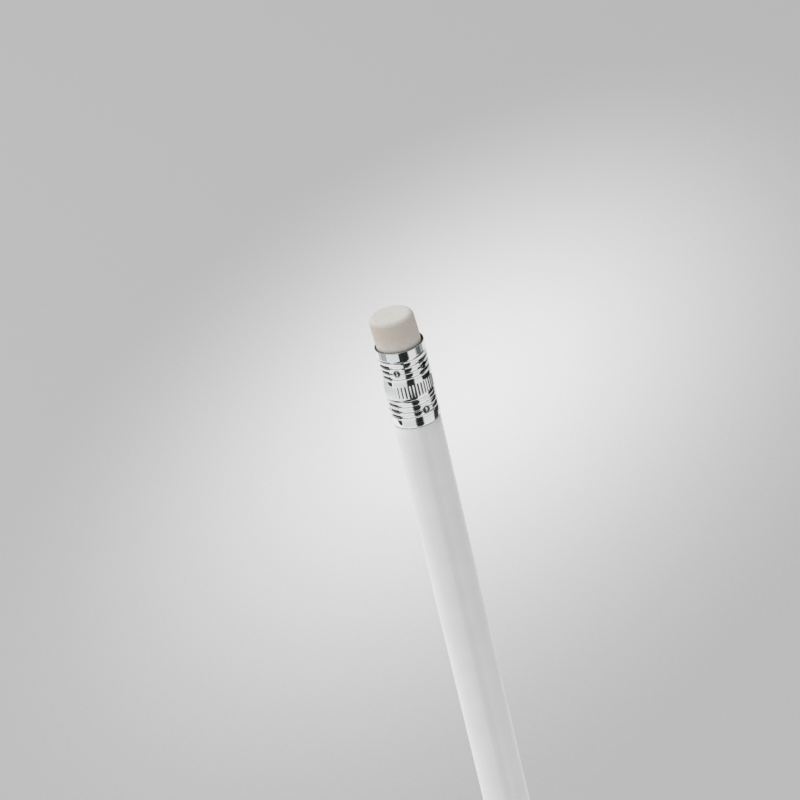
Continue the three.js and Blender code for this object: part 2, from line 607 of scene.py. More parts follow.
@dataclass(frozen=True)
class RubberFinish(Finish):
    """Matt off-white eraser rubber: a side warmed by handling, mottling, specks, tiny pores, and
    painted light and painted shade by the ferrule's rim.
    """

    name: ClassVar[str] = "eraser_rubber"
    rim_height: float
    face_height: float
    face: Colour = (0.664, 0.654, 0.626)
    side: Colour = (0.688, 0.634, 0.570)
    # A lighter colour near the ferrule's rim: painted light, the rim's reflection painted on the
    # rubber.
    foot: Colour = (0.765, 0.730, 0.685)
    mottle: Colour = (0.640, 0.596, 0.536)
    speck: Colour = (0.560, 0.524, 0.476)
    # Painted shade where the rubber goes into the ferrule.
    contact_shade: Colour = (0.300, 0.282, 0.255)
    mottle_share: float = 0.3
    speck_share: float = 0.35
    contact_shade_share: float = 0.6
    contact_shade_fade: float = 1.0
    rim_glow_fade: float = 2.9
    face_fade: float = 0.9
    roughness: Span = (0.78, 0.94)
    crumb_share: float = 0.4
    pore_depth: float = 0.02

    def fill(self, sheet: Sheet, shader: Sockets) -> None:
        """Feeds the shader's sockets.

        Args:
            sheet: The material's nodes.
            shader: The shader's inputs.
        """
        crumb = sheet.group(Effect.CLOUDS, Scale=9000.0, Detail=3.0)
        pores = sheet.group(Effect.SPECKS, Scale=3100.0, Size=0.3, Share=0.22)
        sheet.feed(shader["Base Color"], self.colour(sheet))
        sheet.feed(shader["Roughness"], sheet.ramp(crumb, (0.0, 1.0), self.roughness))
        level = sheet.minus(sheet.times(crumb, self.crumb_share), pores)
        sheet.feed(shader["Normal"], self.bump(sheet, level, self.pore_depth))
        shader["Specular IOR Level"].default_value = 0.3
        shader["Subsurface Weight"].default_value = 0.12
        shader["Subsurface Radius"].default_value = (1.0, 0.85, 0.7)
        shader["Subsurface Scale"].default_value = 0.4 * MM

    def colour(self, sheet: Sheet) -> Socket:
        """Mixes the rubber's colour from the painted shade and painted light at the ferrule's rim up to
        the face.

        Args:
            sheet: The material's nodes.

        Returns:
            The colour.
        """
        rim, face = self.rim_height, self.face_height
        height = sheet.math("DIVIDE", sheet.parted_place()["Z"], MM)
        # Painted light: the side is lighter towards the ferrule's rim, as if the rim reflected light
        # onto it.
        rim_glow = sheet.ramp(height, (rim, rim + self.rim_glow_fade), (1.0, 0.0))
        # Painted shade: the rubber turns dark right where it goes into the ferrule.
        at_contact = sheet.ramp(height, (rim, rim + self.contact_shade_fade), (self.contact_shade_share, 0.0))
        on_face = sheet.ramp(height, (face - self.face_fade, face), (0.0, 1.0))
        patches = sheet.group(Effect.CLOUDS, Scale=700.0, Detail=4.0)
        grains = sheet.group(Effect.SPECKS, Scale=5200.0, Size=0.35, Share=0.3)
        body = sheet.blend(rim_glow, self.side, self.foot)
        body = sheet.blend(at_contact, body, self.contact_shade)
        body = sheet.blend(on_face, body, self.face)
        body = sheet.blend(sheet.times(patches, self.mottle_share), body, self.mottle)
        return sheet.blend(sheet.times(grains, self.speck_share), body, self.speck)


@dataclass(frozen=True)
class FerruleFinish(Finish):
    """Bright rolled metal: mirror clear, with rolling lines, hairlines and haze, and painted shade and
    painted dark reflections.
    """

    name: ClassVar[str] = "ferrule_metal"
    bright: Colour = (0.930, 0.932, 0.935)
    dull: Colour = (0.860, 0.864, 0.870)
    painted_shade: Colour = (0.045, 0.043, 0.042)
    wear_share: float = 0.6
    painted_shade_share: float = 0.97
    painted_shade_roughness: float = 0.25
    roughness: Span = (0.06, 0.15)
    line_share: float = 0.35
    line_depth: float = 0.0004

    def fill(self, sheet: Sheet, shader: Sockets) -> None:
        """Feeds the shader's sockets.

        Args:
            sheet: The material's nodes.
            shader: The shader's inputs.
        """
        haze = sheet.group(Effect.CLOUDS, Scale=900.0, Detail=4.0)
        hairs = sheet.group(Effect.STREAKS, Across=500.0, Along=16000.0, Low=0.56, High=0.68)
        lines = sheet.group(Effect.RINGS, Pitch=0.00011, Wander=0.35)
        # A mesh attribute marks painted shade and painted dark reflections: at the rim, in the grooves,
        # flutes and stakes, and over the whole inside.
        painted_dark = sheet.node("ShaderNodeAttribute", attribute_name=PAINTED_SHADE).outputs["Fac"]
        worn = sheet.times(sheet.larger(haze, hairs), self.wear_share)
        metal_colour = sheet.blend(worn, self.bright, self.dull)
        shade_share = sheet.times(painted_dark, self.painted_shade_share)
        sheet.feed(shader["Base Color"], sheet.blend(shade_share, metal_colour, self.painted_shade))
        shader["Metallic"].default_value = 1.0
        rough = sheet.ramp(worn, (0.0, 1.0), self.roughness)
        rough = sheet.math("MULTIPLY_ADD", painted_dark, self.painted_shade_roughness, rough)
        sheet.feed(shader["Roughness"], rough)
        level = sheet.minus(sheet.times(lines, self.line_share), hairs)
        sheet.feed(shader["Normal"], self.bump(sheet, level, self.line_depth))


@dataclass(frozen=True)
class LacquerFinish(Finish):
    """White lacquer in several coats: a soft gloss over the faint grain of the wood below."""

    name: ClassVar[str] = "white_lacquer"
    white: Colour = (0.890, 0.889, 0.893)
    shade: Colour = (0.868, 0.866, 0.869)
    nib: Colour = (0.740, 0.730, 0.710)
    grain_share: float = 0.35
    nib_share: float = 0.6
    roughness: Span = (0.14, 0.22)
    peel_share: float = 0.5
    grain_rise: float = 0.3
    peel_depth: float = 0.003

    def fill(self, sheet: Sheet, shader: Sockets) -> None:
        """Feeds the shader's sockets.

        Args:
            sheet: The material's nodes.
            shader: The shader's inputs.
        """
        patches = sheet.group(Effect.CLOUDS, Scale=260.0, Detail=3.0)
        grain = sheet.group(Effect.STREAKS, Across=2600.0, Along=45.0, Low=0.42, High=0.62)
        peel = sheet.group(Effect.CLOUDS, Scale=1500.0, Detail=1.0)
        dust = sheet.group(Effect.SPECKS, Scale=420.0, Size=0.05, Share=0.25)
        shaded = sheet.math("MULTIPLY_ADD", grain, self.grain_share, patches)
        body = sheet.blend(shaded, self.white, self.shade)
        body = sheet.blend(sheet.times(dust, self.nib_share), body, self.nib)
        sheet.feed(shader["Base Color"], body)
        sheet.feed(shader["Roughness"], sheet.ramp(patches, (0.0, 1.0), self.roughness))
        level = sheet.times(peel, self.peel_share)
        level = sheet.math("MULTIPLY_ADD", grain, self.grain_rise, level)
        level = sheet.plus(level, dust)
        sheet.feed(shader["Normal"], self.bump(sheet, level, self.peel_depth))
        shader["IOR"].default_value = 1.52


@dataclass(frozen=True)
class WoodFinish(Finish):
    """Bare pale wood cut by a sharpener: yearly rings, fibres, patches and faint blade marks."""

    name: ClassVar[str] = "bare_wood"
    lean_x: float
    lean_y: float
    ring_offset: float
    early: Colour = (0.720, 0.500, 0.310)
    late: Colour = (0.510, 0.300, 0.155)
    fibre: Colour = (0.400, 0.225, 0.110)
    late_share: float = 0.7
    patch_share: float = 0.4
    fibre_share: float = 0.45
    roughness: Span = (0.62, 0.82)
    cut_share: float = 0.4
    cut_depth: float = 0.012

    def fill(self, sheet: Sheet, shader: Sockets) -> None:
        """Feeds the shader's sockets.

        Args:
            sheet: The material's nodes.
            shader: The shader's inputs.
        """
        run = {"Lean X": self.lean_x, "Lean Y": self.lean_y, "Offset": self.ring_offset}
        years = sheet.group(Effect.GROWTH, **run)
        fibres = sheet.group(Effect.STREAKS, Across=7000.0, Along=260.0, Low=0.52, High=0.72)
        patches = sheet.group(Effect.CLOUDS, Scale=320.0, Detail=2.0)
        cuts = sheet.group(Effect.RINGS, Pitch=0.00032, Wander=0.8)
        body = sheet.blend(sheet.times(years, self.late_share), self.early, self.late)
        shaded = sheet.larger(fibres, sheet.times(patches, self.patch_share))
        body = sheet.blend(sheet.times(shaded, self.fibre_share), body, self.fibre)
        sheet.feed(shader["Base Color"], body)
        sheet.feed(shader["Roughness"], sheet.ramp(fibres, (0.0, 1.0), self.roughness))
        level = sheet.minus(sheet.times(cuts, self.cut_share), fibres)
        sheet.feed(shader["Normal"], self.bump(sheet, level, self.cut_depth))
        shader["Specular IOR Level"].default_value = 0.3


@dataclass(frozen=True)
class GraphiteFinish(Finish):
    """Sharpened graphite: dark grey with a dull shine, ringed by the blade."""

    name: ClassVar[str] = "graphite"
    dark: Colour = (0.040, 0.040, 0.043)
    rubbed: Colour = (0.110, 0.110, 0.116)
    rubbed_share: float = 0.8
    roughness: Span = (0.32, 0.5)
    ring_depth: float = 0.008

    def fill(self, sheet: Sheet, shader: Sockets) -> None:
        """Feeds the shader's sockets.

        Args:
            sheet: The material's nodes.
            shader: The shader's inputs.
        """
        patches = sheet.group(Effect.CLOUDS, Scale=1400.0, Detail=4.0)
        rings = sheet.group(Effect.RINGS, Pitch=0.00018, Wander=0.6)
        flecks = sheet.group(Effect.SPECKS, Scale=8000.0, Size=0.3, Share=0.3)
        share = sheet.times(sheet.larger(patches, flecks), self.rubbed_share)
        sheet.feed(shader["Base Color"], sheet.blend(share, self.dark, self.rubbed))
        sheet.feed(shader["Roughness"], sheet.ramp(patches, (0.0, 1.0), self.roughness))
        sheet.feed(shader["Normal"], self.bump(sheet, rings, self.ring_depth))
        shader["Metallic"].default_value = 0.35


@dataclass(frozen=True)
class FloorFinish(Finish):
    """A pale paper sheet that is lightest in a wide pool behind the pencil: a painted pool of light,
    painted darker away from it where the camera sees it.
    """

    name: ClassVar[str] = "pale_floor"
    backdrop: float
    pool: Colour = (0.885, 0.879, 0.882)
    far: Colour = (0.540, 0.540, 0.540)
    pool_at: tuple[float, float, float] = (17.0, 353.0, 0.0)
    pool_turn: float = 70.0
    pool_half: tuple[float, float, float] = (230.0, 124.0, 1000.0)
    tooth: float = 0.02
    fade_from: float = 750.0
    fade_to: float = 2200.0

    def fill(self, sheet: Sheet, shader: Sockets) -> None:
        """Feeds the shader's sockets.

        Args:
            sheet: The material's nodes.
            shader: The shader's inputs.
        """
        oval = sheet.node("ShaderNodeMapping", vector_type="TEXTURE")
        sheet.feed(oval.inputs["Vector"], sheet.place())
        sheet.feed(oval.inputs["Location"], [value * MM for value in self.pool_at])
        sheet.feed(oval.inputs["Rotation"], (0.0, 0.0, math.radians(self.pool_turn)))
        sheet.feed(oval.inputs["Scale"], [value * MM for value in self.pool_half])
        # Painted shade: camera rays see the floor darken from the pool colour towards the far colour
        # outside the oval; other rays see the pool colour.
        share = sheet.ramp(sheet.length(oval.outputs[0]), (0.0, 1.0), (0.0, 1.0))
        seen = sheet.node("ShaderNodeLightPath").outputs["Is Camera Ray"]
        tooth = sheet.group(Effect.CLOUDS, Scale=900.0, Detail=4.0, Low=-self.tooth, High=self.tooth)
        share = sheet.plus(sheet.times(share, seen), tooth)
        sheet.feed(shader["Base Color"], sheet.blend(share, self.pool, self.far))
        shader["Roughness"].default_value = 0.95
        shader["Specular IOR Level"].default_value = 0.0
        self.fade_out(sheet, seen)

    def fade_out(self, sheet: Sheet, seen: Socket) -> None:
        """Lets the floor pass into the backdrop far from the pencil, as a studio sweep does.

        Args:
            sheet: The material's nodes.
            seen: 1 where the camera looks straight at the floor, otherwise 0.
        """
        nodes = sheet.tree.nodes
        fade = (self.fade_from * MM, self.fade_to * MM)
        share = sheet.ramp(sheet.length(sheet.place()), fade, (0.0, 1.0))
        glow = sheet.node("ShaderNodeEmission")
        glow.inputs["Color"].default_value = grey(self.backdrop)
        paper = nodes["Principled BSDF"].outputs[0]
        mixed = sheet.mixed_shaders(sheet.times(share, seen), paper, glow.outputs[0])
        sheet.feed(nodes["Material Output"].inputs["Surface"], mixed)


class Piece:
    """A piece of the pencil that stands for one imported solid."""

    node: str
    slot: str
    title: str

    def mesh(self) -> bpy.types.Mesh:
        """Builds the piece's mesh."""
        raise NotImplementedError

    def finish(self) -> Finish:
        """Gives the piece's finish."""
        raise NotImplementedError

    def make(self) -> bpy.types.Object:
        """Builds the piece, dresses it and puts it in place of its solid.

        Returns:
            The piece.
        """
        mesh = self.mesh()
        mesh.materials.append(self.finish().material())
        made = placed(self.title, mesh)
        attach(made, BODY)
        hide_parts(self.node)
        LOG.info("%s: %d faces, for %s", made.name, len(mesh.polygons), self.node)
        return made


@dataclass(frozen=True)
class Point:
    """The sharpened cone that the lead, the wood and the lacquer share."""

    angle: float = 21.0
    tip_radius: float = 0.25

    def slope(self) -> float:
        """Gives how much the radius grows for each millimetre of height."""
        return math.tan(math.radians(self.angle / 2.0))

    def height(self, radius: float) -> float:
        """Gives the height where the cone reaches a radius."""
        return (radius - self.tip_radius) / self.slope()

    def rings(self, first: float, last: float, count: int) -> Rings:
        """Gives the radius and height of evenly spaced rings from one height to another."""
        return [(self.tip_radius + z * self.slope(), z) for z in np.linspace(first, last, count)]


@dataclass
class GraphiteLead(Piece):
    """The writing core, a rod that is ground to a blunt tip."""

    node: ClassVar[str] = "graphite_lead"
    slot: ClassVar[str] = "graphite"
    title: ClassVar[str] = "lead_rod"
    point: Point = Point()
    radius: float = 1.1
    tip_dome: float = 0.05
    dome_shares: tuple[float, ...] = (0.35, 0.65, 0.85)
    cone_from: float = 0.08
    rod_from: float = 1.0
    flat_spot: float = 0.02
    flat_fade: float = 0.5
    grinding: Unevenness = Unevenness(grain=0.35, seed=11.0)
    columns: int = 96
    cone_rings: int = 40
    rod_rings: int = 12

    def mesh(self) -> bpy.types.Mesh:
        """Builds the rod from its tip up.

        Returns:
            The rod's mesh.
        """
        low, high = node_span(self.node)
        tip, shoulder = self.point.tip_radius, self.point.height(self.radius)
        dome = [(tip * share, low + self.tip_dome * share ** 2) for share in self.dome_shares]
        cone = self.point.rings(self.cone_from, shoulder, self.cone_rings)
        rod = [(self.radius, z) for z in np.linspace(shoulder + self.rod_from, high, self.rod_rings)]
        radii, heights = spun(np.array(dome + cone + rod), self.columns)
        rough = self.grinding.at(ring_points(radii, heights))
        exposed = smooth((shoulder - heights) / self.flat_fade)
        radii = radii - self.flat_spot * exposed * np.clip(rough, 0.0, 1.0)
        return skin_mesh(self.title, ring_points(radii, heights), Ends.POLES)

    def finish(self) -> Finish:
        """Gives the piece's finish."""
        return GraphiteFinish()


@dataclass
class WoodSlat(Piece):
    """One grooved half of the wooden casing, sharpened at its foot and stepped at its top."""

    slot: ClassVar[str] = "wood"
    side: Side
    point: Point = Point()
    bore: float = 1.13
    foot_edge: float = 0.01
    radius: float = 3.35
    tenon: float = 3.21
    glue_film: float = 0.04
    shaft_from: float = 1.0
    blade_mark: float = 0.012
    mark_grain: float = 0.5
    mark_seed: float = 23.0
    mark_along: float = 0.35
    mark_fade: float = 0.6
    thin_edge: float = 0.3
    columns: int = 72
    cone_rings: int = 90
    shaft_rings: int = 10

    @property
    def node(self) -> str:
        """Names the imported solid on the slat's side."""
        return f"wood_slat_{self.side.name.lower()}"

    @property
    def title(self) -> str:
        """Names the piece for its side."""
        return f"slat_{self.side.name.lower()}_wood"

    def outline(self) -> np.ndarray:
        """Follows the outside up the cone, the shaft and the tenon inside the ferrule.

        Returns:
            Radius and height of each ring.
        """
        foot, cone_top = self.point.height(self.bore + self.foot_edge), self.point.height(self.radius)
        shoulder, top = node_span("lacquer_coat")[1], node_span(self.node)[1]
        cone = self.point.rings(foot, cone_top, self.cone_rings)
        levels = np.linspace(cone_top + self.shaft_from, shoulder, self.shaft_rings)
        shaft = [(self.radius, z) for z in levels]
        tenon = [(self.tenon, shoulder), (self.tenon, top)]
        return np.array(cone + shaft + tenon)

    def mesh(self) -> bpy.types.Mesh:
        """Builds the half shell as rings that run around its outside and back along its groove.

        Returns:
            The slat's mesh.
        """
        radii, heights = spun(self.outline(), self.columns)
        outer = self.arcs(radii - self.blade_marks(radii, heights), heights)
        inner = self.arcs(np.full_like(radii, self.bore), heights)
        rings = np.concatenate([outer, inner[:, ::-1]], axis=1)
        if self.side is Side.BACK:
            rings = rings * (-1.0, -1.0, 1.0)
        return self.closed(rings)

    def arcs(self, radii: np.ndarray, heights: np.ndarray) -> np.ndarray:
        """Sets arcs of points on the front side, each from the glue line round to the glue line."""
        stop = np.arccos(self.glue_film / 2.0 / radii)
        return around(radii, np.linspace(-1.0, 1.0, self.columns) * stop, heights)

    def blade_marks(self, radii: np.ndarray, heights: np.ndarray) -> np.ndarray:
        """Gives how deep the sharpener cut at each point of the cone, less where the wood is thin.

        Args:
            radii: Radius of each point, rings by columns.
            heights: Height of each point, rings by columns.

        Returns:
            The depth of the cut, rings by columns.
        """
        marks = Unevenness(self.mark_grain, self.mark_seed * self.side.value, self.mark_along)
        depth = self.blade_mark * np.clip(marks.at(self.arcs(radii, heights)), 0.0, 1.0)
        on_cone = smooth((self.point.height(self.radius) - heights) / self.mark_fade)
        return depth * on_cone * np.clip((radii - self.bore) / self.thin_edge, 0.0, 1.0)

    def closed(self, rings: np.ndarray) -> bpy.types.Mesh:
        """Joins the rings and closes both ends between the outside and the groove.

        Args:
            rings: Points, rings by columns by three.

        Returns:
            The slat's mesh.
        """
        points = rings.reshape(-1, 3)
        index = np.arange(len(points)).reshape(rings.shape[:2])
        faces = ring_quads(index)
        foot, top = index[0].tolist(), index[-1].tolist()
        last = len(foot) - 1
        for k in range(self.columns - 1):
            corners = (k, k + 1, last - k - 1, last - k)
            faces.append([foot[i] for i in reversed(corners)])
            faces.append([top[i] for i in corners])
        return finished_mesh(self.title, points, faces)

    def finish(self) -> Finish:
        """Gives the piece's finish, with its own run of the grain on each side.

        Returns:
            The finish.
        """
        if self.side is Side.FRONT:
            return WoodFinish(lean_x=1.0, lean_y=0.35, ring_offset=0.2)
        return WoodFinish(lean_x=0.55, lean_y=-0.85, ring_offset=3.7)


@dataclass
class LacquerCoat(Piece):
    """The white lacquer sleeve on the shaft, with a slightly chipped edge at the point."""

    node: ClassVar[str] = "lacquer_coat"
    slot: ClassVar[str] = "lacquer"
    title: ClassVar[str] = "lacquer_skin"
    point: Point = Point()
    radius: float = 3.5
    thickness: float = 0.12
    edge_round: float = 0.05
    chip: float = 0.22
    chip_fade: float = 1.5
    chips: Unevenness = Unevenness(grain=0.9, seed=5.0)
    splinters: Unevenness = Unevenness(grain=0.25, seed=9.0)
    splinter_share: float = 0.25
    ripple: float = 0.004
    ripple_level: float = 0.6
    ripples: Unevenness = Unevenness(grain=2.2, seed=3.0, along=0.12)
    columns: int = 192
    length_rings: int = 120
    edge_rings: int = 2
    crowding: float = 1.5

    def mesh(self) -> bpy.types.Mesh:
        """Builds the sleeve up its outside and down its inside.

        Returns:
            The sleeve's mesh.
        """
        top, bore = node_span(self.node)[1], self.radius - self.thickness
        foot = self.point.height(self.radius)
        climb = np.linspace(0.0, 1.0, self.length_rings) ** self.crowding
        outside = [(self.radius, foot + share * (top - self.edge_round - foot)) for share in climb]
        brow = rounded_edge(self.radius, top, self.edge_round, self.edge_rings)
        inside = [(bore, top), (bore, self.point.height(bore))]
        radii, heights = spun(np.array(outside + brow + inside), self.columns)
        # Chips reach the outside and the lowest ring of the inside, and ripples only the outside.
        by_point = np.exp((foot - heights) / self.chip_fade)
        by_point[len(outside):-1] = 0.0
        heights = heights + self.chipped_edge() * by_point
        flow = self.ripple * (self.ripples.at(ring_points(radii, heights)) - self.ripple_level)
        flow[len(outside):] = 0.0
        return skin_mesh(self.title, ring_points(radii + np.minimum(flow, 0.0), heights), Ends.LOOP)

    def chipped_edge(self) -> np.ndarray:
        """Gives how high the edge at the point is chipped in each column.

        Returns:
            The height of the chips.
        """
        edge = around(self.radius, turns(self.columns), 0.0)
        chips = self.chips.at(edge) + self.splinter_share * self.splinters.at(edge)
        return self.chip * np.clip(chips, 0.0, 1.0)

    def finish(self) -> Finish:
        """Gives the piece's finish."""
        return LacquerFinish()


@dataclass(frozen=True)
class StakeRow:
    """A ring of round punch marks on the ferrule, each with a flat floor, a steep wall and a lip.

    Places in a stake are counted in its own radius, from its middle. Painted shade and painted dark
    reflections lie along the wall and over one half of the floor.
    """

    count: int
    first_turn: float
    below_rim: float
    radius: float
    painted_dark: Half
    depth: float = 0.19
    floor: float = 0.55
    lip: float = 0.008
    lip_at: float = 1.1
    lip_width: float = 0.14
    # Painted shade along the stake's wall and over one half of its floor.
    wall_at: float = 0.82
    wall_width: float = 0.27
    shade_level: float = 0.55
    shade_slope: float = 2.2
    shade_stop: float = 1.15
    shade_fade: float = 0.25

    def places(self, below: np.ndarray, turn: np.ndarray, tube: float) -> tuple[np.ndarray, np.ndarray]:
        """Finds each point's place in the nearest stake.

        Args:
            below: Each ring's distance below the rim.
            turn: The turn of each column.
            tube: Radius of the ferrule.

        Returns:
            Places to the right of the stake's middle, and distances from it, rings by columns.
        """
        pitch = math.tau / self.count
        off = (turn - math.radians(self.first_turn) + pitch / 2.0) % pitch - pitch / 2.0
        aside = (off * tube / self.radius)[None, :]
        return aside, np.hypot(aside, (below[:, None] - self.below_rim) / self.radius)

    def drop(self, reach: np.ndarray) -> np.ndarray:
        """Gives how far a stake lies below the tube, by the distance from its middle."""
        hollow = smooth((1.0 - reach) / (1.0 - self.floor))
        return self.depth * hollow - self.lip * bell(reach, self.lip_at, self.lip_width)

    def painted_shade(self, aside: np.ndarray, reach: np.ndarray) -> np.ndarray:
        """Gives the painted shade and painted dark reflection in a stake.

        Args:
            aside: Places to the right of the stake's middle.
            reach: Distances from the stake's middle.

        Returns:
            The painted shade, from 0 to 1.
        """
        wall = bell(reach, self.wall_at, self.wall_width)
        half = smooth(self.shade_level + self.shade_slope * aside * self.painted_dark.value)
        return np.maximum(wall, half * smooth((self.shade_stop - reach) / self.shade_fade))


@dataclass
class Ferrule(Piece):
    """The metal tube: plain bands, two groups of round beads, a fluted band and punched stakes."""

    node: ClassVar[str] = "ferrule"
    slot: ClassVar[str] = "ferrule_metal"
    title: ClassVar[str] = "ferrule_rolled"
    radius: float = 3.595
    wall: float = 0.215
    rim_round: float = 0.07
    inner_round: float = 0.021
    rim_band: float = 1.7
    rim_flare: float = 0.02
    beads: int = 3
    bead_pitch: float = 0.88
    bead_depth: float = 0.14
    collar_band: float = 1.05
    band_crown: float = 0.012
    flute_band: float = 2.1
    flute_count: int = 38
    flute_depth: float = 0.085
    flute_runout: float = 0.2
    flute_power: float = 2.7
    waist_band: float = 0.5
    foot_lip: float = 0.12
    foot_lip_height: float = 0.34
    upper_stakes: StakeRow = StakeRow(
        count=5, first_turn=-22.0, below_rim=3.3, radius=0.48, painted_dark=Half.RIGHT
    )
    lower_stakes: StakeRow = StakeRow(
        count=3, first_turn=28.0, below_rim=9.95, radius=0.56, painted_dark=Half.LEFT
    )
    dent: float = 0.006
    dents: Unevenness = Unevenness(grain=1.3, seed=7.0)
    # Painted shade at the rim's edge, in the grooves of the beads and in the bottoms of the flutes.
    rim_shade: float = 0.6
    rim_shade_to: float = 0.14
    groove_shade: float = 0.55
    groove_width: float = 0.05
    flute_shade: float = 0.12
    columns_per_flute: int = 12
    rim_rings: int = 5
    ring_step: float = 0.064

    def __post_init__(self) -> None:
        """Works out where each band starts, down from the rim."""
        foot, self.rim = node_span(self.node)
        self.length = self.rim - foot
        group = self.beads * self.bead_pitch
        self.upper_at = self.rim_band
        self.collar_at = self.upper_at + group
        self.flutes_at = self.collar_at + self.collar_band
        self.waist_at = self.flutes_at + self.flute_band
        self.lower_at = self.waist_at + self.waist_band
        self.foot_at = self.lower_at + group

    def crests(self, start: float) -> np.ndarray:
        """Gives the distance below the rim of each bead's crest in the group that starts there."""
        return start + self.bead_pitch * (np.arange(self.beads) + 0.5)

    def from_groove(self, below: np.ndarray, start: float) -> np.ndarray:
        """Measures to the nearest groove of a group of beads.

        Args:
            below: Distances below the rim.
            start: Where the group's first groove is.

        Returns:
            The distance from the nearest groove.
        """
        along = below - start
        groove = np.clip(np.round(along / self.bead_pitch), 0, self.beads) * self.bead_pitch
        return np.abs(along - groove)

    def bead_drop(self, below: np.ndarray, start: float) -> np.ndarray:
        """Gives how far a group of round beads lies below the plain radius.

        Args:
            below: Distances below the rim.
            start: Where the group's first groove is.

        Returns:
            The drop at each distance, 0 away from the group.
        """
        half = self.bead_pitch / 2.0
        crest = (half ** 2 + self.bead_depth ** 2) / (2.0 * self.bead_depth)
        from_crest = np.clip(half - self.from_groove(below, start), 0.0, half)
        return crest - np.sqrt(crest ** 2 - from_crest ** 2)

    def flute_drop(self, below: np.ndarray, turn: np.ndarray) -> np.ndarray:
        """Gives how far the fluted band lies below the plain radius.

        Args:
            below: Each ring's distance below the rim.
            turn: The turn of each column.

        Returns:
            The drop, rings by columns.
        """
        inset = np.minimum(below - self.flutes_at, self.waist_at - below)
        present = smooth(inset / self.flute_runout)
        from_crest = np.abs((turn * self.flute_count / math.tau) % 1.0 - 0.5) * 2.0
        return self.flute_depth * present[:, None] * (from_crest ** self.flute_power)[None, :]

    def crown_drop(self, below: np.ndarray, start: float, end: float) -> np.ndarray:
        """Gives how far a slightly barrelled band falls away towards its two ends."""
        along = (below - start) / (end - start) * 2.0 - 1.0
        return np.where(np.abs(along) <= 1.0, self.band_crown * along ** 2, 0.0)

    def ring_depths(self) -> tuple[np.ndarray, np.ndarray]:
        """Sets the rings of the outside, close together around the rim's rounded edge.

        Returns:
            Each ring's distance below the rim, and how far the rounded edge draws it in.
        """
        bend = np.linspace(0.0, math.pi / 2.0, self.rim_rings)
        steps = int((self.length - self.rim_round) / self.ring_step)
        body = np.linspace(self.rim_round, self.length, steps)[1:]
        below = np.concatenate([self.rim_round * (1.0 - np.cos(bend)), body])
        inset = np.concatenate([self.rim_round * (1.0 - np.sin(bend)), np.zeros_like(body)])
        return below, inset

    def band_drop(self, below: np.ndarray) -> np.ndarray:
        """Gives how far the plain and beaded bands lie below the plain radius.

        Args:
            below: Distances below the rim.

        Returns:
            The drop at each distance.
        """
        flare = np.where(below < self.upper_at, self.rim_flare * below / self.upper_at, 0.0)
        upper = self.bead_drop(below, self.upper_at) * (below < self.flutes_at)
        lower = self.bead_drop(below, self.lower_at) * (below > self.waist_at)
        crowns = self.crown_drop(below, self.collar_at, self.flutes_at)
        crowns = crowns + self.crown_drop(below, self.foot_at, self.length)
        lip = np.clip(1.0 - (self.length - below) / self.foot_lip_height, 0.0, 1.0)
        return flare + upper + lower + crowns + self.foot_lip * lip ** 2

    def band_shade(self, below: np.ndarray) -> np.ndarray:
        """Gives the painted shade at the cut rim and in the grooves of the beads.

        Args:
            below: Distances below the rim.

        Returns:
            The painted shade at each distance, from 0 to 1.
        """
        painted_shade = self.rim_shade * smooth((self.rim_shade_to - below) / self.rim_round)
        for start in (self.upper_at, self.lower_at):
            away = self.from_groove(below, start)
            painted_shade = painted_shade + self.groove_shade * bell(away, 0.0, self.groove_width)
        return painted_shade

    def outside(self, turn: np.ndarray) -> tuple[np.ndarray, np.ndarray, np.ndarray]:
        """Shapes the outside from the rim down.

        Args:
            turn: The turn of each column.

        Returns:
            Radii and heights, and the painted shade, rings by columns.
        """
        below, inset = self.ring_depths()
        fluted = self.flute_drop(below, turn)
        radii = self.radius - (inset + self.band_drop(below))[:, None] - fluted
        painted_shade = self.band_shade(below)[:, None] + self.flute_shade * (fluted / self.flute_depth) ** 3
        for row in (self.upper_stakes, self.lower_stakes):
            aside, reach = row.places(below, turn, self.radius)
            radii = radii - row.drop(reach)
            painted_shade = np.maximum(painted_shade, row.painted_shade(aside, reach))
        radii = np.minimum(radii, self.radius)
        heights = np.repeat(self.rim - below[:, None], len(turn), 1)
        dents = self.dents.at(ring_points(radii, heights))
        return radii - self.dent * np.clip(dents, 0.0, 1.0), heights, painted_shade

    def inside(self) -> np.ndarray:
        """Follows each band of the outside along the inside, from the rim down.

        Returns:
            Radius and height of each ring.
        """
        bore, half = self.radius - self.wall, self.bead_pitch / 2.0
        beaded, fluted = bore - self.bead_depth, bore - self.flute_depth
        rows = np.array([
            (bore + self.inner_round, self.inner_round),
            (bore, self.rim_round),
            (bore, self.upper_at - half),
            (beaded, self.upper_at),
            (beaded, self.collar_at),
            (bore, self.collar_at + half),
            (fluted, self.flutes_at),
            (fluted, self.waist_at),
            (beaded, self.lower_at),
            (beaded, self.foot_at),
            (bore, self.foot_at + half),
            (bore, self.length - self.foot_lip_height),
            (bore - self.foot_lip, self.length),
        ])
        return rows * (1.0, -1.0) + (0.0, self.rim)

    def mesh(self) -> bpy.types.Mesh:
        """Builds the tube up its outside and down its inside, and marks where shade is painted.

        Returns:
            The ferrule's mesh.
        """
        turn = turns(self.flute_count * self.columns_per_flute)
        radii, heights, painted_shade = self.outside(turn)
        inner_radii, inner_heights = spun(self.inside(), len(turn))
        all_radii = np.vstack([radii[::-1], inner_radii])
        all_heights = np.vstack([heights[::-1], inner_heights])
        mesh = skin_mesh(self.title, ring_points(all_radii, all_heights), Ends.LOOP)
        # The whole inside gets full painted shade.
        marks = np.vstack([painted_shade[::-1], np.ones_like(inner_radii)])
        mesh.attributes.new(PAINTED_SHADE, "FLOAT", "POINT").data.foreach_set("value", marks.ravel())
        return mesh

    def finish(self) -> Finish:
        """Gives the piece's finish."""
        return FerruleFinish()


